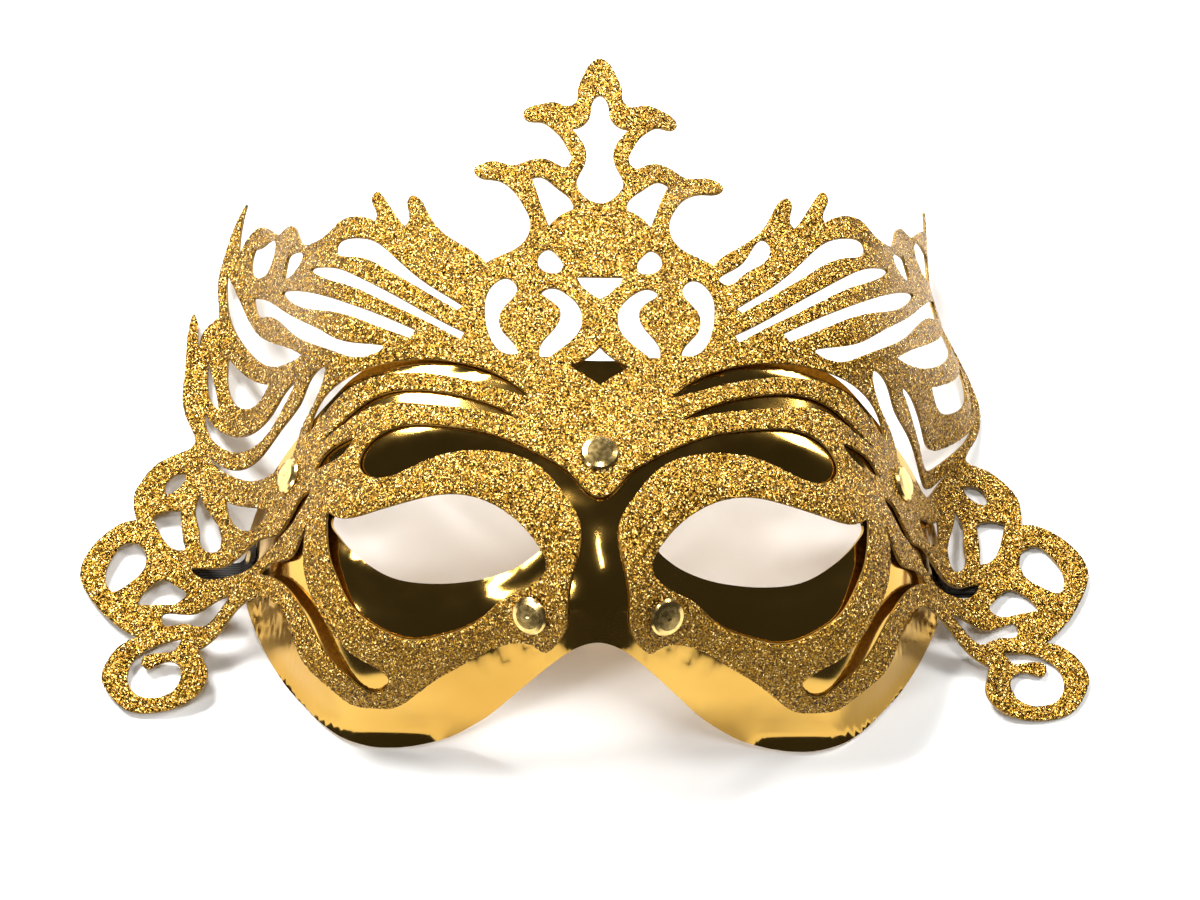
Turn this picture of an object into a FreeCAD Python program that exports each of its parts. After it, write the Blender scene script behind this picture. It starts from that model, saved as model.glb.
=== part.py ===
import FreeCAD, Part
import math
import os
from FreeCAD import Base, Vector

# Carnival half mask: a thin moulded shell with a die-cut filigree sheet riveted over it.
# Millimetres. The mask lies on its back rim: +Z is up out of the face side, +Y runs from
# the cheeks towards the crown, X from one temple to the other. The origin is under the
# middle of the bounding box, on the surface that the mask lies on.

# ---- driving dimensions --------------------------------------------------------------
BRIDGE_HEIGHT = 58.0      # filigree underside over the brow, above the table
SHELL_WALL = 1.0
SEAT_GAP = 0.35           # air between the shell and the sheet riveted on it
BACKING_THICKNESS = 0.6   # gold card that carries the pattern
GLITTER_THICKNESS = 0.25  # glitter layer bonded over the card
BOND_GAP = 0.02           # keeps the two layers from sharing a face
NOSE_RIDGE = 15.0         # how far the nose stands over the cheeks
NOSE_HALF_WIDTH = 30.0
SOCKET_DEPTH = 8.0        # the eye sockets of the shell sink this far
SOCKET_CENTRE = (42.0, 38.0)
SOCKET_REACH = (36.0, 24.0)
TABLE_CLEARANCE = 0.2     # the lowest that the free loops of the sheet hang
RIVET_HEAD_R = 4.8
RIVET_HEAD_T = 1.3
RIVET_DOME = [(0, 0.35), (0.5, 0.85), (1.6, 1.15)]     # inset from the cap's edge, height
RIVET_POST_R = 1.5
RIVET_HOLE_R = 1.8
WASHER_R = 3.5
WASHER_T = 0.8
WASHER_BEVEL = 0.3
STRAP_WIDTH = 6.0
STRAP_THICKNESS = 0.6
STRAP_MIDDLE = 45.2       # y of the run that crosses under the mask
STRAP_SLANT = 0.45        # the strap leans towards the crown by this much per mm of height
STRAP_SAG = 9.0            # the run under the mask bows towards the cheeks, below the eye holes
STRAP_FOLD_X = {-1: 106.0, 1: 100.0}
STRAP_FOLD_R = 0.6
STRAP_SEAT_GAP = 0.2
STRAP_LEAVES_AT = (109.0, 112.5, 116.0)    # along the shell: strap end, pin, last touch
STRAP_PIN_HEIGHT = 48.2
STRAP_DOWN_X = 93.6        # where the strap has come down and lies level
PIN_POST_R = 0.9
PIN_SLACK = 0.06
PIN_HOLE_R = 1.1
PIN_HEAD_R = 1.8
PIN_BACK_R = 1.6
PIN_HEAD_T = 0.4
PIN_CROWN_SHARE = 0.6      # flat top of the pin, as a share of its head

# Where the rivets sit on the sheet: (distance from the centre line, height on the pattern).
RIVETS = {
    "center": (0.0, 52.8),
    "temple_left": (-87.0, 60.0),
    "temple_right": (87.0, 60.0),
    "nose_left": (-16.3, 15.8),
    "nose_right": (16.3, 15.8),
}

# ---- how the mask is bent ------------------------------------------------------------
# Slope in degrees below level at each distance along the sheet from the centre line.
STATIONS = [0, 15, 30, 45, 60, 70, 80, 90, 100, 110, 120, 135, 160]
SHELL_SLOPE = [0, 2, 7, 15, 27, 41, 52, 60, 64, 66, 68, 70, 70]
# Three rows for each side of the sheet: level with the temple, above it, and at the crown.
# The right side of the sheet is bent more steeply than the left.
SHEET_SLOPE = {
    -1: [
        [0, 2, 7, 15, 27, 41, 52, 55, 50, 41, 26, 6, 0],
        [0, 1, 3, 6, 21, 40, 53, 60, 64, 60, 38, 4, 0],
        [0, 1, 3, 6, 21, 40, 53, 60, 64, 60, 38, 4, 0],
    ],
    1: [
        [0, 2, 7, 15, 27, 41, 52, 60, 60, 50, 30, 5, 0],
        [0, 1, 2, 4, 14, 36, 50, 56, 54, 56, 66, 72, 50],
        [0, 2, 2, 0, 8, 42, 64, 62, 58, 74, 82, 82, 60],
    ],
}
ROW_HEIGHTS = (72.0, 95.0, 135.0)
FLANK_TURN = {-1: 0.0, 1: 0.2}     # radians that the right flank is turned on the table
FLANK_PIVOT = (105.0, 43.0)
FLANK_START = 95.0
FLANK_BLEND = 25.0
LEAF_DROOP = 7.0          # the free leaves on the crown's right side hang this much lower

# Share of the full height that is left at each distance up from the lower rim.
BOWL_HEIGHTS = [-6, 0, 2, 5, 8, 15, 22, 30, 38, 45]
BOWL_SHARE = [-0.02, 0.06, 0.16, 0.33, 0.455, 0.63, 0.76, 0.865, 0.95, 1.0]

SHEET_FIELD = ((-160, 160), (-4, 176), (84, 62))     # flat ranges and pole counts
SHELL_FIELD = ((-122, 122), (-6, 90), (70, 44))
FUSE_TOLERANCE = 1e-4
SEW_TOLERANCE = 1e-3
DRILL_REACH = 6.0
POST_TIP = 0.4            # clinched end of the post, past its washer

# ---- flat patterns -------------------------------------------------------------------
# Half patterns as (distance from the centre line, height). C marks a corner, and a smooth
# curve runs through the points between two corners.
C = True

OUTLINE = [
    (0, 170.5), (2.2, 169.3), (4.2, 165.5), (5.8, 160.5), (6.2, 157), (8, 155.5), (11.5, 156.5),
    (15.5, 156), (18.5, 155), (20, 153), (19, 151), (15.5, 150.5), (12.5, 148.5), (10, 145.5),
    (8.5, 142.5), (7.5, 138.5), (9, 136.5), (12, 138), (16, 139), (19.5, 138), (22.5, 137),
    (26, 138), (29.5, 138), (32.5, 135.5), (31, 133.5), (26.5, 132.5), (22.5, 129.5),
    (19.5, 124.5), (18, 120.5), (18.5, 115.5), (20.5, 112.5), (24.5, 110), (29, 107.5, C),
    (33, 111.5), (38, 115), (41.5, 118.5), (44.5, 124), (46.5, 127.5), (48.5, 128.5), (49.5, 127),
    (49, 123), (50, 119.5, C), (53, 124), (55.5, 128.5), (58, 131), (59, 129.5), (58, 125.5),
    (58, 122, C), (61, 124), (64, 125), (68, 125), (73.5, 122.5), (77.5, 122.5), (81.5, 123.5),
    (85.5, 127.5), (88, 132), (91.5, 134.5), (94.5, 135), (98.5, 135.5, C), (108, 143), (115, 145),
    (118.5, 142.5), (120.5, 138, C), (120.5, 143.5), (120, 149.5), (118.5, 155.5, C), (122, 151),
    (125, 142.5), (127, 133), (126.5, 127), (126, 121.5, C), (129, 119.5), (131.5, 113, C),
    (132, 117.5), (132.5, 121.5), (133.5, 123.5), (134.5, 120.5), (135, 113.5), (135, 103.5),
    (133, 91), (128, 81.5), (131, 80), (135.5, 77.5), (138.5, 73), (140.5, 68.5), (140.5, 64.5),
    (139.5, 60.5, C), (142.5, 60), (146.5, 57.5), (150.5, 53), (153, 47.5), (153, 43.5),
    (151, 39.5), (148, 35.5), (144, 31.5), (137, 27, C), (140.5, 25.5), (144, 21.5), (145.5, 15.5),
    (143, 11), (139, 7.5), (132.5, 6.5), (125, 8), (119.5, 11), (117, 15), (118.5, 19.5),
    (120, 22.5, C), (116.5, 24), (112.5, 27), (108.5, 30.5), (104.5, 32), (98.5, 31.5), (92, 28.5),
    (86.5, 24), (83.5, 19.5), (80.5, 14.5), (75, 10), (69, 7), (62.5, 4.5), (56.5, 4), (51, 4),
    (45.5, 5.5), (40, 7.5), (33.5, 9.5), (27.5, 11.5), (21, 12), (15.5, 10.5), (12.5, 9),
    (9.5, 10), (7.5, 12.5), (7.5, 15.5), (6.5, 22), (5, 28), (5, 34.5), (7.5, 39.5), (12, 46),
    (17, 50.5), (23.5, 53), (31, 54), (38.5, 53.5), (46, 51), (54, 49), (58.5, 50.5), (61, 54),
    (59.5, 58.5), (54.5, 62), (47.5, 63), (38.5, 61.5), (29.5, 59.5), (21, 56), (13, 51.5),
    (6.5, 46.5), (3, 42), (0, 40.5),
]
CENTRED_HOLES = {
    "finial eye": [
        (0, 159), (2, 156.5), (2.5, 152.5), (4.5, 149.5), (7.5, 148.5, C), (5, 145), (3.5, 141),
        (4.5, 136), (6, 132), (4, 127.5), (0, 125.5),
    ],
    "crown vee": [
        (0, 103.5), (6, 103.5, C), (3.5, 99.5), (0, 97, C),
    ],
    "crown diamond": [
        (0, 83, C), (3, 80), (7.5, 77.5, C), (3.5, 74.5), (0, 72, C),
    ],
}
PAIRED_HOLES = {
    "crown triangle": [
        (17.5, 133, C), (15.5, 133.5), (11.5, 130.5), (7.5, 126.5), (7, 123.5, C), (11, 121),
        (13, 118.5, C), (14.5, 123), (16, 128),
    ],
    "crown leaf": [
        (13.5, 111.5), (15.5, 109.5), (15.5, 106.5), (13, 104.5), (10, 105), (9.5, 107),
        (11.5, 110.5),
    ],
    "crown outer bracket": [
        (23.5, 103), (21, 100), (22.5, 96.5), (25, 93), (25, 88.5), (22, 84.5), (20.5, 81, C),
        (24.5, 81.5), (28, 87), (29, 93.5), (27.5, 100.5),
    ],
    "crown inner bracket": [
        (13, 100), (8.5, 98.5), (5, 94), (5, 88), (8.5, 83.5), (12.5, 80, C), (15, 80, C),
        (14, 85), (11, 89), (10.5, 94.5), (14.5, 99),
    ],
    "wing slot 1": [
        (69, 118), (63.5, 118.5), (58.5, 116.5), (52, 110), (44, 102), (36.5, 96.5), (34.5, 95, C),
        (36, 93.8, C), (43.5, 99), (53, 106), (63, 112.5), (69, 116),
    ],
    "wing slot 2": [
        (78.5, 114.5), (73, 113), (63, 107), (52.5, 99.5), (43, 92.8), (34, 87.5, C), (35, 85.5, C),
        (43, 90.5), (53, 96.5), (64, 104), (75.5, 111.5),
    ],
    "wing slot 3": [
        (93.5, 115), (83.5, 110.5), (66, 100), (54, 93), (46.5, 88.8, C), (48, 86.8, C), (56.5, 91),
        (69, 98), (84.5, 106.5),
    ],
    "wing slot 4": [
        (112.5, 123), (107, 120), (89.5, 106.5), (72.5, 93.5), (61.5, 87.5), (55, 85), (57.5, 84),
        (68.5, 87), (83.5, 96.5), (103, 112.5), (112.5, 122),
    ],
    "side ring": [
        (108, 137.5), (100.5, 130.5), (103.5, 127.5), (111, 128.5), (115, 134), (114, 138.5),
    ],
    "side drop": [
        (88.5, 124.5), (83.5, 119.5), (86.5, 118), (93, 119.5), (92, 123.5),
    ],
    "side crescent": [
        (124, 134.5, C), (119, 125), (112, 113.5), (96.5, 101), (81, 90.5, C), (91, 92),
        (104, 98.5), (115.5, 109), (122, 119.5), (124, 128.5),
    ],
    "side half moon": [
        (122, 108, C), (114.5, 100), (99.5, 90.5, C), (103.5, 88), (112.5, 89), (120, 95),
        (122, 101.5),
    ],
    "side sweep": [
        (85, 85), (89, 82), (95, 78.5), (103, 75.5), (111, 76), (120, 81), (127, 89),
        (128, 92.5, C), (122.5, 86.5), (113.5, 81.5), (104.5, 80), (95.5, 82.5), (88.5, 85),
    ],
    "side gill": [
        (127, 114.5), (128, 110), (127, 104), (125.5, 99), (124, 92.5, C), (127.5, 97.5),
        (128.5, 105), (128, 111),
    ],
    "temple sweep": [
        (72.5, 84.5), (78, 83.5), (82.5, 79.5), (92, 76), (101.5, 71.5), (108, 70.5), (116, 73.5),
        (123, 80, C), (118.5, 74.5), (110.5, 68.5), (101, 64.5), (93, 64), (85, 66), (82.5, 71),
        (76, 77.5),
    ],
    "brow slot 1": [
        (17.5, 68.5, C), (25, 75), (34.5, 79), (45.5, 81), (56.5, 81), (66.5, 79.5), (75, 76),
        (79, 68.5, C), (72.5, 72.5), (65, 76.5), (55.5, 78), (44, 77), (30, 73),
    ],
    "brow slot 2": [
        (20, 62.5, C), (28.5, 67.5), (38.5, 71), (48, 73), (57.5, 72.5), (66, 68.5),
        (73.5, 64.5, C), (66, 67), (57, 70), (45, 68.5), (31, 65.5),
    ],
    "brow slot 3": [
        (63, 62), (67, 62), (72, 60.5), (75.5, 57, C), (68.5, 57.5), (64.5, 59.5),
    ],
    "temple slot": [
        (77.5, 52), (82, 51), (86.5, 47.5), (91, 45.5), (99.5, 47), (108, 45), (116.5, 44),
        (123.5, 45), (121, 42.5), (113, 40.5), (104.5, 40), (96.5, 42), (87, 44.5), (80.5, 48),
    ],
    "temple window": [
        (114, 63.5, C), (108, 59.5), (97, 52.5), (100.5, 51), (109, 53.5), (112.5, 58),
    ],
    "cheek opening": [
        (77, 44.5, C), (79, 37), (77.5, 29.5), (73, 22.5), (65.5, 14.5), (59, 11), (52.5, 7),
        (55, 6), (61.5, 7.5), (69, 12), (76, 19.5), (82, 26.5), (91.5, 34), (99, 37.5, C),
        (92.5, 38.5), (84, 37.5), (80, 41),
    ],
    "lens": [
        (127, 73.5, C), (131, 73), (132.5, 70.5), (132, 68), (128.5, 69.5),
    ],
    "curl panel": [
        (127.5, 62.5, C), (131.5, 63), (135.5, 61.5, C), (133, 56.5), (129.5, 52), (125.5, 51, C),
        (127, 57.5),
    ],
    "curl slot": [
        (122, 67.5, C), (119, 60.5), (114.5, 52), (115, 49), (120.5, 50.5), (122, 56),
        (123.5, 61.5),
    ],
    "upper curl": [
        (140.5, 54), (137, 52), (136.5, 46.5), (140.5, 42), (144.5, 40), (146.5, 43.5), (145, 50),
    ],
    "curl fan": [
        (137.5, 37), (135, 41), (131.5, 43), (127.5, 41), (124.5, 38), (127, 36), (132.5, 36),
    ],
    "curl bar": [
        (131, 32.5), (123, 32.5), (116, 34.5), (110, 35, C), (113.5, 32), (118.5, 28.5),
        (125.5, 30), (130.5, 30.5),
    ],
    "lower curl": [
        (125.5, 26), (131, 25), (136.5, 22), (139, 16), (136.5, 11.5), (131, 10.5), (125.5, 13.5),
        (125, 18), (129.5, 20), (134.5, 18.5), (135.5, 20.5), (130, 22.5), (126, 24),
    ],
    "eye": [
        (69.5, 43.5), (65, 41), (57, 41), (48.5, 42), (38, 43), (29.5, 41.5), (22, 37.5),
        (16, 31.5), (13, 23.5), (18, 21), (23.5, 20), (29, 17), (38, 14.5), (47, 14), (56, 17),
        (63, 22), (67.5, 29), (70.5, 38.5),
    ],
}
WING_SLOT_RIGHT = [
    (42.5, 115.5), (43.5, 114), (42, 109), (37, 105.5), (32, 102), (30.5, 103), (34.5, 107),
    (38.5, 112),
]

EYE_HOLE_SHELL = [
    (14, 31), (18, 27), (28, 25.5), (40, 25.5), (51, 27.5), (60, 32.5), (67, 38.5), (69.5, 42.5),
    (65, 45.5), (55, 47.5), (44, 47.5), (33, 45.5), (22, 40),
]
# Rim of the shell, from the brow round one temple and cheek to the nose.
SHELL_RIM = [
    (0, 79.5), (15, 80.5), (30, 82.5), (45, 83.5), (56, 83), (64, 80.5), (72, 76), (82, 71.5),
    (93, 68.5), (101, 66), (108, 62.5), (113.5, 58), (116.3, 53), (117, 47.5), (116.3, 41.5),
    (113.3, 35.5), (108, 29.5), (99, 22.3), (89, 15), (80, 9.2), (73.5, 4.6), (66, 0.4),
    (58.5, -1.7), (51, -2), (43.5, -1.2), (36, 0.4), (28, 2.4), (20, 4.6), (10, 7.2), (5, 8.4),
    (0, 8.9),
]


# ---- small helpers -------------------------------------------------------------------
def ramp(t):
    t = min(max(t, 0.0), 1.0)
    return t * t * (3 - 2 * t)


def straight(xs, ys, x):
    """Read a table with straight lines between its entries."""
    if x <= xs[0]:
        return ys[0]
    for i in range(1, len(xs)):
        if x <= xs[i]:
            part = (x - xs[i - 1]) / (xs[i] - xs[i - 1])
            return ys[i - 1] + part * (ys[i] - ys[i - 1])
    return ys[-1]


def rounded(xs, ys, x):
    """Read a table with a smooth curve through its entries."""
    if x <= xs[0]:
        return ys[0]
    if x >= xs[-1]:
        return ys[-1]
    last = len(xs) - 1
    i = max(k for k in range(last) if xs[k] <= x)

    def slope(k):
        lo, hi = max(k - 1, 0), min(k + 1, last)
        return (ys[hi] - ys[lo]) / (xs[hi] - xs[lo])

    span = xs[i + 1] - xs[i]
    t = (x - xs[i]) / span
    return ((1 + 2 * t) * (1 - t) ** 2 * ys[i] + t * (1 - t) ** 2 * span * slope(i)
            + t * t * (3 - 2 * t) * ys[i + 1] - t * t * (1 - t) * span * slope(i + 1))


STEP = 0.5


def bent_row(slopes):
    """Walk outwards along a strip with the given slopes, and note where it gets to."""
    x, z = 0.0, BRIDGE_HEIGHT
    row = [(x, z)]
    for i in range(int(STATIONS[-1] / STEP)):
        angle = math.radians(straight(STATIONS, slopes, (i + 0.5) * STEP))
        x += STEP * math.cos(angle)
        z -= STEP * math.sin(angle)
        row.append((x, z))
    return row


def along(row, distance):
    i = min(int(distance / STEP), len(row) - 2)
    part = distance / STEP - i
    return [row[i][k] + part * (row[i + 1][k] - row[i][k]) for k in (0, 1)]


SHELL_ROW = bent_row(SHELL_SLOPE)
SHEET_ROWS = {side: [bent_row(slopes) for slopes in rows] for side, rows in SHEET_SLOPE.items()}


def nose(x, y):
    """Height that the nose adds."""
    if abs(x) >= NOSE_HALF_WIDTH:
        return 0.0
    fade = min(max((45.0 - y) / 30.0, 0.0), 1.0)
    return fade * NOSE_RIDGE * (1 + math.cos(math.pi * x / NOSE_HALF_WIDTH)) / 2


def sheet_point(a, b):
    """Underside of the bent sheet at a point of its flat pattern."""
    side = 1 if a >= 0 else -1
    distance = min(abs(a), STATIONS[-1])
    temple, upper, crown = (along(row, distance) for row in SHEET_ROWS[side])
    low, middle, high = ROW_HEIGHTS
    w1 = ramp((b - low) / (middle - low))
    w2 = ramp((b - middle) / (high - middle))
    x, z = ((temple[k] * (1 - w1) + upper[k] * w1) * (1 - w2) + crown[k] * w2 for k in (0, 1))
    if z < 4.0:
        z = TABLE_CLEARANCE + 3.8 * math.exp((z - 4.0) / 3.8)
    z = z * rounded(BOWL_HEIGHTS, BOWL_SHARE, b) + nose(x, b)
    if side > 0:
        leaf = ramp((a - 8) / 22) * ramp((b - 122) / 14) * (1 - ramp((a - 34) / 8))
        z -= LEAF_DROOP * leaf
    turn = FLANK_TURN[side] * ramp((distance - FLANK_START) / FLANK_BLEND) * (1 - w1)
    y = b + turn * (x - FLANK_PIVOT[0])
    x -= turn * (b - FLANK_PIVOT[1])
    return Vector(side * x, y, z)


def shell_point(a, b):
    """Middle of the seat side of the shell: the same bend, with sockets and a closed rim."""
    x, z = along(SHELL_ROW, min(abs(a), STATIONS[-1]))
    foot = 37.0 * ramp((x - 58.0) / 45.0)
    up = 45.0 * (b - foot) / (45.0 - foot)
    z = z * rounded(BOWL_HEIGHTS, BOWL_SHARE, up) + nose(x, b)
    reach = (((x - SOCKET_CENTRE[0]) / SOCKET_REACH[0]) ** 2
             + ((b - SOCKET_CENTRE[1]) / SOCKET_REACH[1]) ** 2)
    if reach < 1:
        z -= SOCKET_DEPTH * (1 - reach) ** 2
    return Vector(math.copysign(x, a), b, z)


def normal_at(point, a, b):
    h = 0.5
    across = point(a + h, b) - point(a - h, b)
    upward = point(a, b + h) - point(a, b - h)
    return across.cross(upward).normalize()


def offset(point, distance):
    return lambda a, b: point(a, b) + normal_at(point, a, b) * distance


DEGREE = 3


def surface(point, a_range, b_range, counts):
    """Smooth surface of a point function, with the flat pattern's own millimetres."""
    spans = []
    for (lo, hi), count in zip((a_range, b_range), counts):
        pieces = count - DEGREE
        knots = [lo + (hi - lo) * i / pieces for i in range(pieces + 1)]
        times = [DEGREE + 1] + [1] * (pieces - 1) + [DEGREE + 1]
        flat = [k for k, m in zip(knots, times) for _ in range(m)]
        pole_at = [sum(flat[i + 1:i + DEGREE + 1]) / DEGREE for i in range(count)]
        spans.append((knots, times, pole_at))
    (ka, ma, pa), (kb, mb, pb) = spans
    poles = [[point(a, b) for b in pb] for a in pa]
    result = Part.BSplineSurface()
    result.buildFromPolesMultsKnots(poles, ma, mb, ka, kb, False, False, DEGREE, DEGREE)
    return result


def curves(points):
    """Flat curves of a closed outline: one through each run of points between corners."""
    corners = [i for i, p in enumerate(points) if len(p) > 2]
    if not corners:
        loop = Part.Geom2d.BSplineCurve2d()
        loop.interpolate(Points=[Base.Vector2d(*p) for p in points], PeriodicFlag=True)
        return [loop]
    points = points[corners[0]:] + points[:corners[0] + 1]
    corners = [i for i, p in enumerate(points) if len(p) > 2]
    runs = []
    for first, last in zip(corners, corners[1:]):
        run = Part.Geom2d.BSplineCurve2d()
        run.interpolate(Points=[Base.Vector2d(p[0], p[1]) for p in points[first:last + 1]])
        runs.append(run)
    return runs


def mirrored(points):
    return [(-p[0],) + tuple(p[1:]) for p in points]


def whole(half):
    """Close a half outline that starts and ends on the centre line."""
    return half + mirrored(half[-2:0:-1])


def skin(surf, outlines):
    """Trim a surface to its first outline and cut the others out of it."""
    edges = [[c.toShape(surf) for c in outline] for outline in outlines]
    pieces, _ = surf.toShape().generalFuse([Part.Wire(group) for group in edges], FUSE_TOLERANCE)
    face = max(pieces.Faces, key=lambda f: len(f.Wires))
    return face, [edge for group in edges for edge in group]


def thin_solid(point, near, far, field, outlines):
    """Solid between two offsets of a surface, with walls square to it."""
    faces = []
    rims = []
    for distance in (near, far):
        face, edges = skin(surface(offset(point, distance), *field), outlines)
        faces.append(face)
        rims.append(edges)
    walls = [Part.makeRuledSurface(low, high) for low, high in zip(*rims)]
    sewn = Part.makeShell(faces + walls)
    sewn.sewShape(SEW_TOLERANCE)
    solid = Part.makeSolid(sewn)
    if solid.Volume < 0:
        solid.reverse()
    return solid


def drill(solid, centre, axis, radius):
    rod = Part.makeCylinder(radius, 2 * DRILL_REACH, centre - axis * DRILL_REACH, axis)
    return solid.cut(rod).Solids[0]


def turned(profile, centre, axis):
    """Solid of revolution: profile is (radius, height) from the foot up, on the given axis."""
    points = [Vector(r, 0, h) for r, h in profile]
    outline = Part.makePolygon(points + [points[0]])
    solid = Part.Face(outline).revolve(Vector(0, 0, 0), Vector(0, 0, 1), 360)
    solid.Placement = FreeCAD.Placement(centre, FreeCAD.Rotation(Vector(0, 0, 1), axis))
    return solid


def rise(point, centre, axis, a, b, radius, distance):
    """How far a surface stands above the plane of a disc laid on it."""
    top = 0.0
    for i in range(24):
        angle = math.radians(15 * i)
        near = offset(point, distance)(a + radius * math.cos(angle), b + radius * math.sin(angle))
        top = max(top, (near - centre).dot(axis))
    return top


def strap_half(table, side):
    """One end of the strap, from its pin on the shell down to the fold on the table."""
    seat = STRAP_SEAT_GAP + STRAP_THICKNESS / 2 - SEAT_GAP
    touch = [offset(shell_point, seat)(side * a, STRAP_PIN_HEIGHT) for a in STRAP_LEAVES_AT]
    level = table + STRAP_THICKNESS / 2
    upper = level + 2 * STRAP_FOLD_R
    down = [Vector(p.x, 0, p.z) for p in touch]
    down.append(Vector(side * STRAP_DOWN_X, 0, upper))
    drop = Part.BSplineCurve()
    drop.interpolate(Points=down, InitialTangent=(down[1] - down[0]).normalize(),
                     FinalTangent=Vector(side, 0, 0))
    fold_from = Vector(side * STRAP_FOLD_X[side], 0, upper)
    fold_mid = Vector(side * (STRAP_FOLD_X[side] + STRAP_FOLD_R), 0, level + STRAP_FOLD_R)
    fold_to = Vector(side * STRAP_FOLD_X[side], 0, level)
    path = Part.Wire([drop.toShape(), Part.makeLine(down[-1], fold_from),
                      Part.Arc(fold_from, fold_mid, fold_to).toShape()])
    across = (down[1] - down[0]).normalize().cross(Vector(0, 1, 0)) * (STRAP_THICKNESS / 2)
    wide = Vector(0, STRAP_WIDTH / 2, 0)
    corners = [down[0] + across + wide, down[0] + across - wide,
               down[0] - across - wide, down[0] - across + wide]
    sweep = Part.BRepOffsetAPI.MakePipeShell(path)
    sweep.setBiNormalMode(Vector(0, 1, 0))
    sweep.add(Part.makePolygon(corners + corners[:1]))
    sweep.build()
    sweep.makeSolid()
    return sweep.shape()


def strap_run(table):
    """The level run from one fold to the other, bowed on the table."""
    left = -STRAP_FOLD_X[-1]
    right = STRAP_FOLD_X[1]
    sides = []
    for edge in (STRAP_WIDTH / 2, -STRAP_WIDTH / 2):
        bow = Part.BSplineCurve()
        bow.interpolate(Points=[Vector(left, edge, table),
                                Vector((left + right) / 2, edge - STRAP_SAG, table),
                                Vector(right, edge, table)],
                        InitialTangent=Vector(1, 0, 0), FinalTangent=Vector(1, 0, 0))
        sides.append(bow)
    upper, lower = sides
    outline = Part.Wire([upper.toShape(), Part.makeLine(upper.EndPoint, lower.EndPoint),
                         lower.toShape(), Part.makeLine(lower.StartPoint, upper.StartPoint)])
    return Part.Face(outline).extrude(Vector(0, 0, STRAP_THICKNESS))


def elastic_strap(table):
    """Flat elastic from one temple to the other, folded in and lying under the mask."""
    ribbon = strap_run(table).fuse([strap_half(table, -1), strap_half(table, 1)])
    lean = FreeCAD.Matrix()
    lean.A23 = STRAP_SLANT
    lean.A24 = STRAP_MIDDLE - STRAP_SLANT * table
    return ribbon.removeSplitter().Solids[0].transformGeometry(lean)


# ---- the parts -----------------------------------------------------------------------
def build():
    sheet_outlines = [curves(whole(OUTLINE))]
    for half in CENTRED_HOLES.values():
        sheet_outlines.append(curves(whole(half)))
    for loop in PAIRED_HOLES.values():
        sheet_outlines += [curves(loop), curves(mirrored(loop))]
    sheet_outlines.append(curves(WING_SLOT_RIGHT))
    shell_outlines = [curves(whole(SHELL_RIM)), curves(EYE_HOLE_SHELL),
                      curves(mirrored(EYE_HOLE_SHELL))]

    glitter_from = BACKING_THICKNESS + BOND_GAP
    glitter_to = glitter_from + GLITTER_THICKNESS
    backing = thin_solid(sheet_point, 0.0, BACKING_THICKNESS, SHEET_FIELD, sheet_outlines)
    glitter = thin_solid(sheet_point, glitter_from, glitter_to, SHEET_FIELD, sheet_outlines)
    shell_to = -SEAT_GAP - SHELL_WALL
    shell = thin_solid(shell_point, shell_to, -SEAT_GAP, SHELL_FIELD, shell_outlines)

    parts = {}
    for name, (a, b) in RIVETS.items():
        seat = sheet_point(a, b)
        axis = normal_at(sheet_point, a, b)
        backing = drill(backing, seat, axis, RIVET_HOLE_R)
        glitter = drill(glitter, seat, axis, RIVET_HOLE_R)
        shell = drill(shell, seat, axis, RIVET_HOLE_R)
        face = rise(sheet_point, seat, axis, a, b, RIVET_HEAD_R, glitter_to)
        face = max(face, glitter_to) + BOND_GAP
        back = rise(sheet_point, seat, axis * -1, a, b, WASHER_R, shell_to)
        back = -max(back, -shell_to) - BOND_GAP
        foot = back - WASHER_T - POST_TIP
        parts["rivet_cap_" + name] = turned([
            (0, foot), (RIVET_POST_R, foot), (RIVET_POST_R, face), (RIVET_HEAD_R, face)]
            + [(RIVET_HEAD_R - inset, face + height) for inset, height in RIVET_DOME]
            + [(0, face + RIVET_HEAD_T)], seat, axis)
        parts["rivet_washer_" + name] = turned([
            (RIVET_POST_R + BOND_GAP, back), (RIVET_POST_R + BOND_GAP, back - WASHER_T),
            (WASHER_R - WASHER_BEVEL, back - WASHER_T),
            (WASHER_R, back - WASHER_T + WASHER_BEVEL),
            (WASHER_R, back)], seat, axis)

    table = shell.optimalBoundingBox(False).ZMin
    strap = elastic_strap(table)
    for name, side in (("left", -1), ("right", 1)):
        a, b = side * STRAP_LEAVES_AT[1], STRAP_PIN_HEIGHT
        seat = shell_point(a, b)
        axis = normal_at(shell_point, a, b)
        shell = drill(shell, seat, axis, PIN_HOLE_R)
        strap = drill(strap, seat, axis, PIN_HOLE_R)
        head = -SEAT_GAP + STRAP_SEAT_GAP + STRAP_THICKNESS + PIN_SLACK
        back = shell_to - BOND_GAP
        parts["strap_pin_" + name] = turned([
            (0, back - PIN_HEAD_T), (PIN_BACK_R, back - PIN_HEAD_T), (PIN_BACK_R, back),
            (PIN_POST_R, back), (PIN_POST_R, head), (PIN_HEAD_R, head),
            (PIN_HEAD_R, head + PIN_HEAD_T / 2), (PIN_HEAD_R * PIN_CROWN_SHARE, head + PIN_HEAD_T),
            (0, head + PIN_HEAD_T)], seat, axis)
    parts["elastic_strap"] = strap
    parts["mask_shell"] = shell
    parts["filigree_backing"] = backing
    parts["glitter_facing"] = glitter
    return parts


def main():
    os.makedirs("parts", exist_ok=True)
    parts = build()
    box = Part.makeCompound(list(parts.values())).optimalBoundingBox(False)
    shift = Vector(-box.Center.x, -box.Center.y, -box.ZMin)
    for name, shape in parts.items():
        solid = shape.Solids[0]
        solid.translate(shift)
        solid.exportStep("parts/" + name + ".step")


main()
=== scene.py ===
import math

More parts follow.
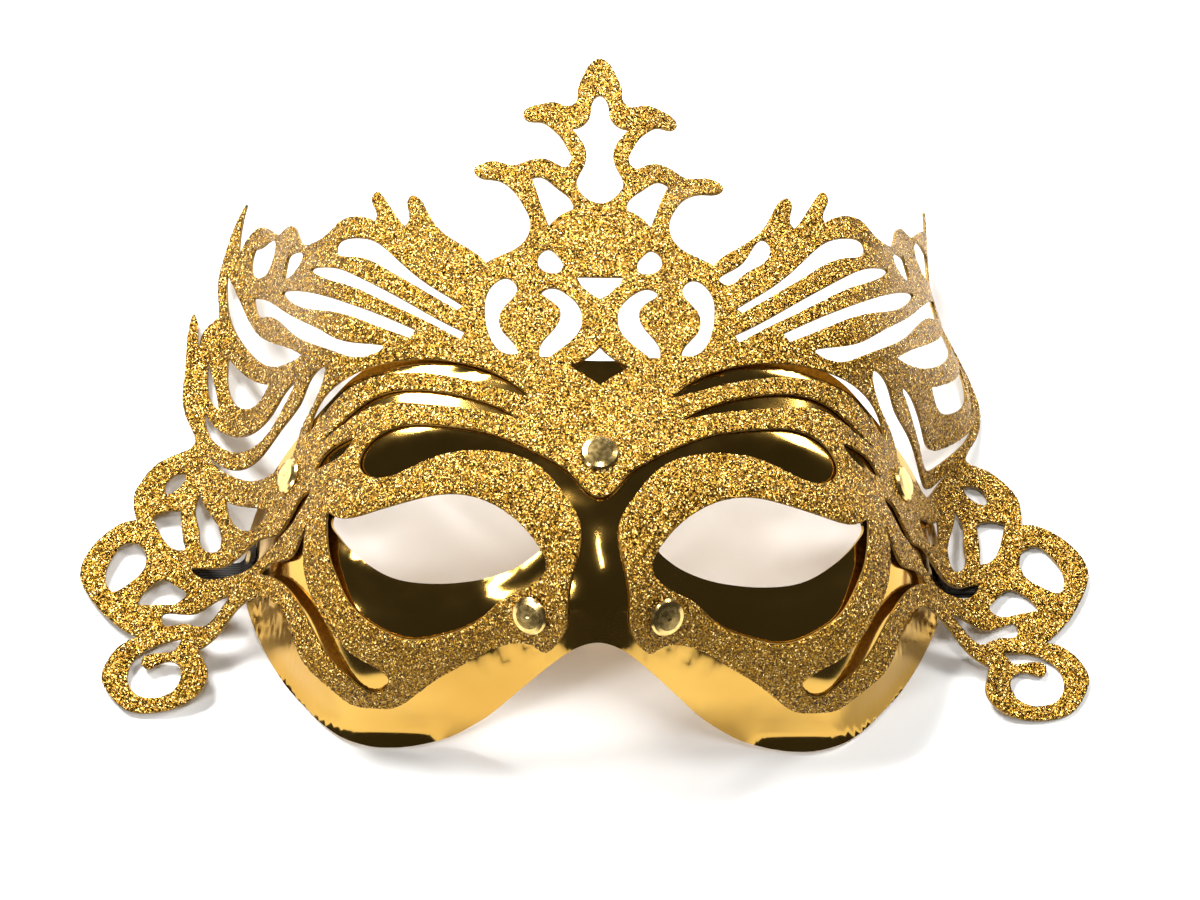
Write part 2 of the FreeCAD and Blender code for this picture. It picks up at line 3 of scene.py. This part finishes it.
import bmesh
import bpy
from mathutils import Matrix, Vector, noise
from mathutils.geometry import delaunay_2d_cdt
from mathutils.kdtree import KDTree


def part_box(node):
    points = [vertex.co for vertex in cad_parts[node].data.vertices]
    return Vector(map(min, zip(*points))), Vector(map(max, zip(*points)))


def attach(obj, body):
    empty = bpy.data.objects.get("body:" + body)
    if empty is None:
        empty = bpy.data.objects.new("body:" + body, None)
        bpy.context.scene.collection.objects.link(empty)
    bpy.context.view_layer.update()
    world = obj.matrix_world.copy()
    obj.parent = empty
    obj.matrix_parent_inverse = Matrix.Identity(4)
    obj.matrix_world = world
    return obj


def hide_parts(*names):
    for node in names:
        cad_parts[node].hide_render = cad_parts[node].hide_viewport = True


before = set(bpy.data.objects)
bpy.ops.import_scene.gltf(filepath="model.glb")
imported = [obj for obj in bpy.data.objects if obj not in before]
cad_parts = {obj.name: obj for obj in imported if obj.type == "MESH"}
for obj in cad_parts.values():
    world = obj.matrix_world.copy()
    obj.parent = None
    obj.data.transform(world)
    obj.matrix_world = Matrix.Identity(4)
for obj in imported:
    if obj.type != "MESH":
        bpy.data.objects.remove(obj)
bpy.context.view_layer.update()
MM = 0.001

# ---- where the mask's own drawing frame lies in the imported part's frame ----------------
# The shell is drawn with x from the middle of the nose and y from the cheek line.
BROW_EDGE_Y = 83.63
BROW_TOP_Z = 58.17
shell_low, shell_high = (Vector(corner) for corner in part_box("mask_shell"))
DRAWING = Vector(((shell_low.x + shell_high.x) / 2, shell_high.y - BROW_EDGE_Y * MM,
                  shell_high.z - BROW_TOP_Z * MM))

# The shell's own numbers, in millimetres and degrees, as the CAD has them.
BRIDGE_HEIGHT = 58.0
SHELL_WALL = 1.0
SEAT_GAP = 0.35
FOOT_RISE = 37.0          # the rim climbs this far towards the temples
FOOT_FROM = 58.0          # and does it from here, sideways
FOOT_SPAN = 45.0          # over this width
BOWL_TOP = 45.0           # the curve down to the cheeks starts at this height
NOSE_RIDGE = 15.0
NOSE_HALF_WIDTH = 30.0
NOSE_FADE = 30.0          # the ridge grows from nothing over this much below BOWL_TOP
SOCKET_DEPTH = 8.0
SOCKET_CENTRE = (42.0, 38.0)
SOCKET_REACH = (36.0, 24.0)
STATIONS = [0, 15, 30, 45, 60, 70, 80, 90, 100, 110, 120, 135, 160]
SHELL_SLOPE = [0, 2, 7, 15, 27, 41, 52, 60, 64, 66, 68, 70, 70]
BOWL_HEIGHTS = [-6, 0, 2, 5, 8, 15, 22, 30, 38, 45]
BOWL_SHARE = [-0.02, 0.06, 0.16, 0.33, 0.455, 0.63, 0.76, 0.865, 0.95, 1.0]
EYE_HOLE = [
    (14, 31), (18, 27), (28, 25.5), (40, 25.5), (51, 27.5), (60, 32.5), (67, 38.5), (69.5, 42.5),
    (65, 45.5), (55, 47.5), (44, 47.5), (33, 45.5), (22, 40),
]
SHELL_RIM = [
    (0, 79.5), (15, 80.5), (30, 82.5), (45, 83.5), (56, 83), (64, 80.5), (72, 76), (82, 71.5),
    (93, 68.5), (101, 66), (108, 62.5), (113.5, 58), (116.3, 53), (117, 47.5), (116.3, 41.5),
    (113.3, 35.5), (108, 29.5), (99, 22.3), (89, 15), (80, 9.2), (73.5, 4.6), (66, 0.4),
    (58.5, -1.7), (51, -2), (43.5, -1.2), (36, 0.4), (28, 2.4), (20, 4.6), (10, 7.2), (5, 8.4),
    (0, 8.9),
]


# ---- the bend of the shell -------------------------------------------------------------
def straight(xs, ys, x):
    if x <= xs[0]:
        return ys[0]
    for i in range(1, len(xs)):
        if x <= xs[i]:
            part = (x - xs[i - 1]) / (xs[i] - xs[i - 1])
            return ys[i - 1] + part * (ys[i] - ys[i - 1])
    return ys[-1]


def rounded(xs, ys, x):
    if x <= xs[0]:
        return ys[0]
    if x >= xs[-1]:
        return ys[-1]
    last = len(xs) - 1
    i = max(k for k in range(last) if xs[k] <= x)

    def slope(k):
        lo, hi = max(k - 1, 0), min(k + 1, last)
        return (ys[hi] - ys[lo]) / (xs[hi] - xs[lo])

    span = xs[i + 1] - xs[i]
    t = (x - xs[i]) / span
    return ((1 + 2 * t) * (1 - t) ** 2 * ys[i] + t * (1 - t) ** 2 * span * slope(i)
            + t * t * (3 - 2 * t) * ys[i + 1] - t * t * (1 - t) * span * slope(i + 1))


def ramp(t):
    t = min(max(t, 0.0), 1.0)
    return t * t * (3 - 2 * t)


STEP = 0.5                # along the bend
NORMAL_REACH = 1.2        # half the span that a surface normal is taken over
ROW = [(0.0, BRIDGE_HEIGHT)]
for i in range(int(STATIONS[-1] / STEP)):
    angle = math.radians(straight(STATIONS, SHELL_SLOPE, (i + 0.5) * STEP))
    ROW.append((ROW[-1][0] + STEP * math.cos(angle), ROW[-1][1] - STEP * math.sin(angle)))


def shell_point(a, b):
    """Where the point a, b of the flat pattern lies once the shell is bent, in millimetres."""
    distance = min(abs(a), STATIONS[-1] - STEP)
    i = int(distance / STEP)
    part = distance / STEP - i
    x = ROW[i][0] + part * (ROW[i + 1][0] - ROW[i][0])
    z = ROW[i][1] + part * (ROW[i + 1][1] - ROW[i][1])
    foot = FOOT_RISE * ramp((x - FOOT_FROM) / FOOT_SPAN)
    up = BOWL_TOP * (b - foot) / (BOWL_TOP - foot)
    z *= rounded(BOWL_HEIGHTS, BOWL_SHARE, up)
    if x < NOSE_HALF_WIDTH:
        fade = min(max((BOWL_TOP - b) / NOSE_FADE, 0.0), 1.0)
        z += fade * NOSE_RIDGE * (1 + math.cos(math.pi * x / NOSE_HALF_WIDTH)) / 2
    reach = (((x - SOCKET_CENTRE[0]) / SOCKET_REACH[0]) ** 2
             + ((b - SOCKET_CENTRE[1]) / SOCKET_REACH[1]) ** 2)
    if reach < 1:
        z -= SOCKET_DEPTH * (1 - reach) ** 2
    return Vector((math.copysign(x, a), b, z))


def shell_normal(a, b):
    h = NORMAL_REACH
    across = shell_point(a + h, b) - shell_point(a - h, b)
    upward = shell_point(a, b + h) - shell_point(a, b - h)
    return across.cross(upward).normalized()


# ---- outlines ----------------------------------------------------------------------------
def smooth_loop(points, spacing):
    """Points at a spacing along a closed smooth curve that keeps its marked corners."""
    count = len(points)
    dense = []
    for i in range(count):
        p0, p1, p2, p3 = (points[(i + k) % count] for k in (-1, 0, 1, 2))
        v = [Vector(p[:2]) for p in (p0, p1, p2, p3)]
        m1 = (v[2] - v[1]) if len(p1) > 2 else (v[2] - v[0]) / 2
        m2 = (v[2] - v[1]) if len(p2) > 2 else (v[3] - v[1]) / 2
        steps = max(int((v[2] - v[1]).length / spacing + 0.5), 1)
        for k in range(steps):
            t = k / steps
            dense.append((2 * t ** 3 - 3 * t ** 2 + 1) * v[1] + (t ** 3 - 2 * t ** 2 + t) * m1
                         + (3 * t ** 2 - 2 * t ** 3) * v[2] + (t ** 3 - t ** 2) * m2)
    return dense


def mirrored(points):
    return [(-p[0],) + tuple(p[1:]) for p in points]


# ---- shell -------------------------------------------------------------------------------
LIP_HEIGHT = 0.55
LIP_WIDTH = 2.0
LINE_INSETS = (4.6, 6.2)  # two pressed lines run this far inside the rim
LINE_WIDTH = 0.5
LINE_DEPTH = 0.3
LIP_FLAT = 0.6            # the lip keeps its full height this far in from the rim
LIP_LOSS_AT_TOP = 0.6     # share of the lip's height that is gone above the brow
TOP_FROM = 52
TOP_SPAN = 10
EYE_LIP = 0.45
EYE_LIP_FLAT = 0.3
EYE_LIP_WIDTH = 1.5
GRID = 1.5
GRID_ROW = 0.866          # row height of a grid of equal triangles, as a share of GRID
GRID_X = 118.0
GRID_Y = (-4.0, 86.0)
EDGE_CLEARANCE = 0.8      # grid points stay this far from the outlines
OUTLINE_SPACING = 1.0
SHELL_SHARP_ANGLE = 50


def relief(rim_distance, eye_distance, b):
    """How far the moulded face stands above the plain bend, in millimetres."""
    top = ramp((b - TOP_FROM) / TOP_SPAN)
    lip = (LIP_HEIGHT * (1 - LIP_LOSS_AT_TOP * top)
           * (1 - ramp((rim_distance - LIP_FLAT) / LIP_WIDTH)))
    line = 0.0
    for inset in LINE_INSETS:
        line -= LINE_DEPTH * math.exp(-((rim_distance - inset) / LINE_WIDTH) ** 2)
    eye = EYE_LIP * (1 - ramp((eye_distance - EYE_LIP_FLAT) / EYE_LIP_WIDTH))
    return lip + line + eye


def kd_tree(points):
    tree = KDTree(len(points))
    for i, p in enumerate(points):
        tree.insert((p.x, p.y, 0), i)
    tree.balance()
    return tree


def inside(point, loop):
    odd = False
    for i, p in enumerate(loop):
        q = loop[i - 1]
        if (p.y > point.y) != (q.y > point.y):
            if point.x < (q.x - p.x) * (point.y - p.y) / (q.y - p.y) + p.x:
                odd = not odd
    return odd


def finish_mesh(name, bm, smooth_angle=None):
    bmesh.ops.recalc_face_normals(bm, faces=bm.faces)
    mesh = bpy.data.meshes.new(name)
    bm.to_mesh(mesh)
    bm.free()
    for polygon in mesh.polygons:
        polygon.use_smooth = True
    if smooth_angle is not None:
        mesh.set_sharp_from_angle(angle=math.radians(smooth_angle))
    piece = bpy.data.objects.new(name, mesh)
    bpy.context.scene.collection.objects.link(piece)
    return piece


def moulded_shell():
    """The shell remade from the CAD's formula, with its lips and pressed lines."""
    rim = smooth_loop(SHELL_RIM + mirrored(SHELL_RIM[-2:0:-1]), OUTLINE_SPACING)
    eyes = [smooth_loop(hole, OUTLINE_SPACING) for hole in (EYE_HOLE, mirrored(EYE_HOLE))]
    rim_tree = kd_tree(rim)
    eye_tree = kd_tree(eyes[0] + eyes[1])
    points = []
    edges = []
    for loop in [rim] + eyes:
        start = len(points)
        points += loop
        edges += [(start + i, start + (i + 1) % len(loop)) for i in range(len(loop))]
    row = 0
    b = GRID_Y[0]
    while b < GRID_Y[1]:
        a = -GRID_X + (GRID / 2 if row % 2 else 0)
        while a < GRID_X:
            p = Vector((a, b))
            clear = min(rim_tree.find((a, b, 0))[2], eye_tree.find((a, b, 0))[2])
            if clear > EDGE_CLEARANCE and inside(p, rim) and not any(inside(p, eye) for eye in eyes):
                points.append(p)
            a += GRID
        b += GRID * GRID_ROW
        row += 1
    flat, _, faces = delaunay_2d_cdt(points, edges, [], 1, 1e-5)[:3]
    bm = bmesh.new()
    outer = []
    inner = []
    for p in flat:
        rim_distance = rim_tree.find((p.x, p.y, 0))[2]
        eye_distance = eye_tree.find((p.x, p.y, 0))[2]
        normal = shell_normal(p.x, p.y)
        base = shell_point(p.x, p.y)
        face = -SEAT_GAP + relief(rim_distance, eye_distance, p.y)
        outer.append(bm.verts.new((base + normal * face) * MM + DRAWING))
        inner.append(bm.verts.new((base + normal * (face - SHELL_WALL)) * MM + DRAWING))
    used = {}
    for face in faces:
        centre = sum((flat[i] for i in face), Vector((0, 0))) / len(face)
        if not inside(centre, rim) or any(inside(centre, eye) for eye in eyes):
            continue
        bm.faces.new([outer[i] for i in face])
        bm.faces.new([inner[i] for i in reversed(face)])
        for i, j in zip(face, face[1:] + face[:1]):
            used[(i, j)] = True
    for i, j in used:
        if (j, i) not in used:
            bm.faces.new([outer[j], outer[i], inner[i], inner[j]])
    loose = [v for v in bm.verts if not v.link_faces]
    bmesh.ops.delete(bm, geom=loose, context="VERTS")
    return finish_mesh("moulded_shell", bm, SHELL_SHARP_ANGLE)


# ---- glitter -----------------------------------------------------------------------------
GRAIN = 0.32 * MM
GRAIN_SEED = 7            # without a seed, noise_vector differs from run to run
SEAM = 2e-6               # the CAD mesh's doubled corners are this close
MOST_CUTS = 8
SKIN_SHARP_ANGLE = 60


def gritty(node, name, longest, wander):
    """A close mesh of a CAD skin, with its surface and edges ragged at the size of a grain."""
    bm = bmesh.new()
    bm.from_mesh(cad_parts[node].data)
    bmesh.ops.remove_doubles(bm, verts=bm.verts, dist=SEAM)
    for _ in range(MOST_CUTS):
        long = [e for e in bm.edges if e.calc_length() > longest]
        if not long:
            break
        bmesh.ops.subdivide_edges(bm, edges=long, cuts=1)
        bmesh.ops.triangulate(bm, faces=[f for f in bm.faces if len(f.verts) > 3])
    noise.seed_set(GRAIN_SEED)
    for v in bm.verts:
        shake = noise.noise_vector(v.co / (1.3 * GRAIN))
        v.co += shake * wander
    return finish_mesh(name, bm, SKIN_SHARP_ANGLE)


# ---- materials ---------------------------------------------------------------------------
def material(name):
    made = bpy.data.materials.new(name)
    made.use_nodes = True
    nodes = made.node_tree.nodes
    return made, nodes, made.node_tree.links, nodes["Principled BSDF"]


def place(nodes, kind, **values):
    node = nodes.new(kind)
    for key, value in values.items():
        if hasattr(node, key):
            setattr(node, key, value)
        else:
            node.inputs[key.replace("_", " ")].default_value = value
    return node


def ramp_node(nodes, stops):
    node = nodes.new("ShaderNodeValToRGB")
    ramp_stops = node.color_ramp.elements
    while len(ramp_stops) < len(stops):
        ramp_stops.new(0.5)
    for stop, (at, colour) in zip(ramp_stops, stops):
        stop.position = at
        stop.color = (*colour, 1)
    return node


def glitter_material():
    made, nodes, links, shader = material("gold_glitter")
    where = nodes.new("ShaderNodeTexCoord")
    cells = place(nodes, "ShaderNodeTexVoronoi", Scale=1 / GRAIN, Randomness=1.0)
    fine = place(nodes, "ShaderNodeTexVoronoi", Scale=2.3 / GRAIN, Randomness=1.0)
    links.new(where.outputs["Object"], cells.inputs["Vector"])
    links.new(where.outputs["Object"], fine.inputs["Vector"])
    split = nodes.new("ShaderNodeSeparateColor")
    links.new(cells.outputs["Color"], split.inputs["Color"])
    tint = ramp_node(nodes, [(0.0, (0.03, 0.014, 0.001)), (0.5, (0.22, 0.105, 0.008)),
                             (0.85, (0.56, 0.30, 0.035)), (1.0, (1.0, 0.74, 0.30))])
    links.new(split.outputs["Blue"], tint.inputs["Fac"])
    links.new(tint.outputs["Color"], shader.inputs["Base Color"])
    shader.inputs["Metallic"].default_value = 0.9
    # each flake lies at its own angle
    centre = place(nodes, "ShaderNodeVectorMath", operation="SUBTRACT")
    centre.inputs[1].default_value = (0.5, 0.5, 0.5)
    links.new(cells.outputs["Color"], centre.inputs[0])
    scale = place(nodes, "ShaderNodeVectorMath", operation="SCALE")
    scale.inputs["Scale"].default_value = 1.5
    links.new(centre.outputs[0], scale.inputs[0])
    geometry = nodes.new("ShaderNodeNewGeometry")
    tilt = place(nodes, "ShaderNodeVectorMath", operation="ADD")
    links.new(geometry.outputs["Normal"], tilt.inputs[0])
    links.new(scale.outputs[0], tilt.inputs[1])
    unit = place(nodes, "ShaderNodeVectorMath", operation="NORMALIZE")
    links.new(tilt.outputs[0], unit.inputs[0])
    bump = place(nodes, "ShaderNodeBump", Strength=0.5, Distance=0.0001)
    links.new(fine.outputs["Distance"], bump.inputs["Height"])
    links.new(unit.outputs[0], bump.inputs["Normal"])
    links.new(bump.outputs["Normal"], shader.inputs["Normal"])
    rough = place(nodes, "ShaderNodeMapRange")
    rough.inputs["To Min"].default_value = 0.12
    rough.inputs["To Max"].default_value = 0.45
    links.new(split.outputs["Green"], rough.inputs["Value"])
    links.new(rough.outputs["Result"], shader.inputs["Roughness"])
    return made


def mirror_material():
    made, nodes, links, shader = material("mirror_gold")
    where = nodes.new("ShaderNodeTexCoord")
    cloud = place(nodes, "ShaderNodeTexNoise", Scale=22.0, Detail=3.0)
    links.new(where.outputs["Object"], cloud.inputs["Vector"])
    tint = ramp_node(nodes, [(0.3, (0.46, 0.26, 0.05)), (0.7, (0.60, 0.37, 0.085))])
    links.new(cloud.outputs["Fac"], tint.inputs["Fac"])
    links.new(tint.outputs["Color"], shader.inputs["Base Color"])
    shader.inputs["Metallic"].default_value = 1.0
    haze = place(nodes, "ShaderNodeTexNoise", Scale=160.0, Detail=4.0)
    links.new(where.outputs["Object"], haze.inputs["Vector"])
    rough = place(nodes, "ShaderNodeMapRange")
    rough.inputs["To Min"].default_value = 0.05
    rough.inputs["To Max"].default_value = 0.16
    links.new(haze.outputs["Fac"], rough.inputs["Value"])
    links.new(rough.outputs["Result"], shader.inputs["Roughness"])
    wave = place(nodes, "ShaderNodeTexNoise", Scale=45.0, Detail=1.0)
    links.new(where.outputs["Object"], wave.inputs["Vector"])
    bump = place(nodes, "ShaderNodeBump", Strength=0.25, Distance=0.0006)
    links.new(wave.outputs["Fac"], bump.inputs["Height"])
    links.new(bump.outputs["Normal"], shader.inputs["Normal"])
    return made


def card_material():
    made, nodes, links, shader = material("gold_card")
    where = nodes.new("ShaderNodeTexCoord")
    fibre = place(nodes, "ShaderNodeTexNoise", Scale=1400.0, Detail=5.0)
    links.new(where.outputs["Object"], fibre.inputs["Vector"])
    tint = ramp_node(nodes, [(0.3, (0.16, 0.09, 0.015)), (0.7, (0.42, 0.27, 0.07))])
    links.new(fibre.outputs["Fac"], tint.inputs["Fac"])
    links.new(tint.outputs["Color"], shader.inputs["Base Color"])
    shader.inputs["Metallic"].default_value = 0.6
    shader.inputs["Roughness"].default_value = 0.45
    bump = place(nodes, "ShaderNodeBump", Strength=0.4, Distance=0.00008)
    links.new(fibre.outputs["Fac"], bump.inputs["Height"])
    links.new(bump.outputs["Normal"], shader.inputs["Normal"])
    return made


def polished_material(name, low, high, roughness):
    made, nodes, links, shader = material(name)
    where = nodes.new("ShaderNodeTexCoord")
    scratch = place(nodes, "ShaderNodeTexNoise", Scale=900.0, Detail=3.0)
    links.new(where.outputs["Object"], scratch.inputs["Vector"])
    tint = ramp_node(nodes, [(0.35, low), (0.65, high)])
    links.new(scratch.outputs["Fac"], tint.inputs["Fac"])
    links.new(tint.outputs["Color"], shader.inputs["Base Color"])
    shader.inputs["Metallic"].default_value = 1.0
    rough = place(nodes, "ShaderNodeMapRange")
    rough.inputs["To Min"].default_value = roughness * 0.6
    rough.inputs["To Max"].default_value = roughness * 1.5
    links.new(scratch.outputs["Fac"], rough.inputs["Value"])
    links.new(rough.outputs["Result"], shader.inputs["Roughness"])
    bump = place(nodes, "ShaderNodeBump", Strength=0.15, Distance=0.0001)
    links.new(scratch.outputs["Fac"], bump.inputs["Height"])
    links.new(bump.outputs["Normal"], shader.inputs["Normal"])
    return made


def elastic_material():
    made, nodes, links, shader = material("black_elastic")
    where = nodes.new("ShaderNodeTexCoord")
    ribs = place(nodes, "ShaderNodeTexWave", bands_direction="Y", Scale=500.0, Distortion=0.6)
    links.new(where.outputs["Object"], ribs.inputs["Vector"])
    tint = ramp_node(nodes, [(0.2, (0.006, 0.005, 0.004)), (0.8, (0.035, 0.03, 0.026))])
    links.new(ribs.outputs["Fac"], tint.inputs["Fac"])
    links.new(tint.outputs["Color"], shader.inputs["Base Color"])
    shader.inputs["Roughness"].default_value = 0.8
    bump = place(nodes, "ShaderNodeBump", Strength=0.6, Distance=0.0002)
    links.new(ribs.outputs["Fac"], bump.inputs["Height"])
    links.new(bump.outputs["Normal"], shader.inputs["Normal"])
    return made


ELASTIC = elastic_material()
GLITTER = glitter_material()
MIRROR = mirror_material()
CARD = card_material()
CAP = polished_material("polished_caps", (0.64, 0.43, 0.13), (0.80, 0.58, 0.23), 0.2)
WASHER = polished_material("washer_steel", (0.45, 0.44, 0.42), (0.66, 0.65, 0.62), 0.3)


def paint(piece, finish):
    piece.data.materials.clear()
    piece.data.materials.append(finish)


shell = moulded_shell()
paint(shell, MIRROR)
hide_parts("mask_shell")
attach(shell, "root")

facing = gritty("glitter_facing", "glitter_grain", 1.0 * MM, 0.16 * MM)
paint(facing, GLITTER)
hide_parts("glitter_facing")
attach(facing, "root")

paint(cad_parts["filigree_backing"], CARD)
for name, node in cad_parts.items():
    if name.startswith("rivet_cap"):
        paint(node, CAP)
    elif name.startswith("strap_pin"):
        paint(node, CAP)
    elif name.startswith("rivet_washer"):
        paint(node, WASHER)
paint(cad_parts["elastic_strap"], ELASTIC)


# ---- studio ------------------------------------------------------------------------------
def floor():
    bm = bmesh.new()
    bmesh.ops.create_grid(bm, x_segments=8, y_segments=8, size=3.0)
    sheet = finish_mesh("studio_floor", bm)
    made, nodes, links, shader = material("floor_paper")
    cloud = place(nodes, "ShaderNodeTexNoise", Scale=6.0, Detail=2.0)
    tint = ramp_node(nodes, [(0.3, (0.93, 0.92, 0.90)), (0.7, (0.95, 0.945, 0.93))])
    links.new(cloud.outputs["Fac"], tint.inputs["Fac"])
    links.new(tint.outputs["Color"], shader.inputs["Base Color"])
    shader.inputs["Roughness"].default_value = 0.8
    paint(sheet, made)


def lamp(name, place_at, aim, size, power, colour=(1, 1, 1)):
    light = bpy.data.lights.new(name, "AREA")
    light.shape = "RECTANGLE"
    light.size, light.size_y = size
    light.energy = power
    light.color = colour
    holder = bpy.data.objects.new(name, light)
    holder.location = place_at
    holder.rotation_euler = (Vector(aim) - Vector(place_at)).to_track_quat("-Z", "Y").to_euler()
    bpy.context.scene.collection.objects.link(holder)


floor()
lamp("soft_top_left", (-0.7, 0.9, 1.3), (0, 0, 0.03), (0.7, 0.4), 52)
lamp("soft_top_right", (1.0, 0.5, 1.1), (0, 0, 0.03), (0.35, 0.35), 14)
lamp("soft_front_left", (-0.9, -0.6, 0.7), (0, 0, 0.03), (0.2, 0.35), 6)
lamp("strip_above", (0.06, -0.15, 1.5), (0, 0, 0.03), (0.05, 0.5), 5)
lamp("soft_back", (0.1, 1.25, 0.42), (0, 0, 0.03), (0.9, 0.3), 12)

world = bpy.data.worlds.new("studio")
world.use_nodes = True
world.node_tree.nodes["Background"].inputs["Color"].default_value = (1.0, 0.98, 0.95, 1)
world.node_tree.nodes["Background"].inputs["Strength"].default_value = 0.05
bpy.context.scene.world = world
bpy.context.scene.view_settings.view_transform = "Standard"

# ---- camera ------------------------------------------------------------------------------
ELEVATION = math.radians(62)
ROLL = math.radians(1.5)
DISTANCE = 800 * MM
away = Vector((-math.sin(ELEVATION) * math.sin(ROLL), -math.cos(ELEVATION),
               math.sin(ELEVATION) * math.cos(ROLL)))
right = Vector((math.cos(ROLL), 0, math.sin(ROLL)))
up = away.cross(right)
aim = Vector((0.25, 60, 50)) * MM - up * 1.43 * MM + DRAWING
view = bpy.data.cameras.new("camera")
view.sensor_width = 36
view.lens = 96
view.clip_end = 20
camera = bpy.data.objects.new("camera", view)
camera.matrix_world = Matrix((
    (right.x, up.x, away.x, aim.x + away.x * DISTANCE),
    (right.y, up.y, away.y, aim.y + away.y * DISTANCE),
    (right.z, up.z, away.z, aim.z + away.z * DISTANCE),
    (0, 0, 0, 1)))
bpy.context.scene.collection.objects.link(camera)
bpy.context.scene.camera = camera
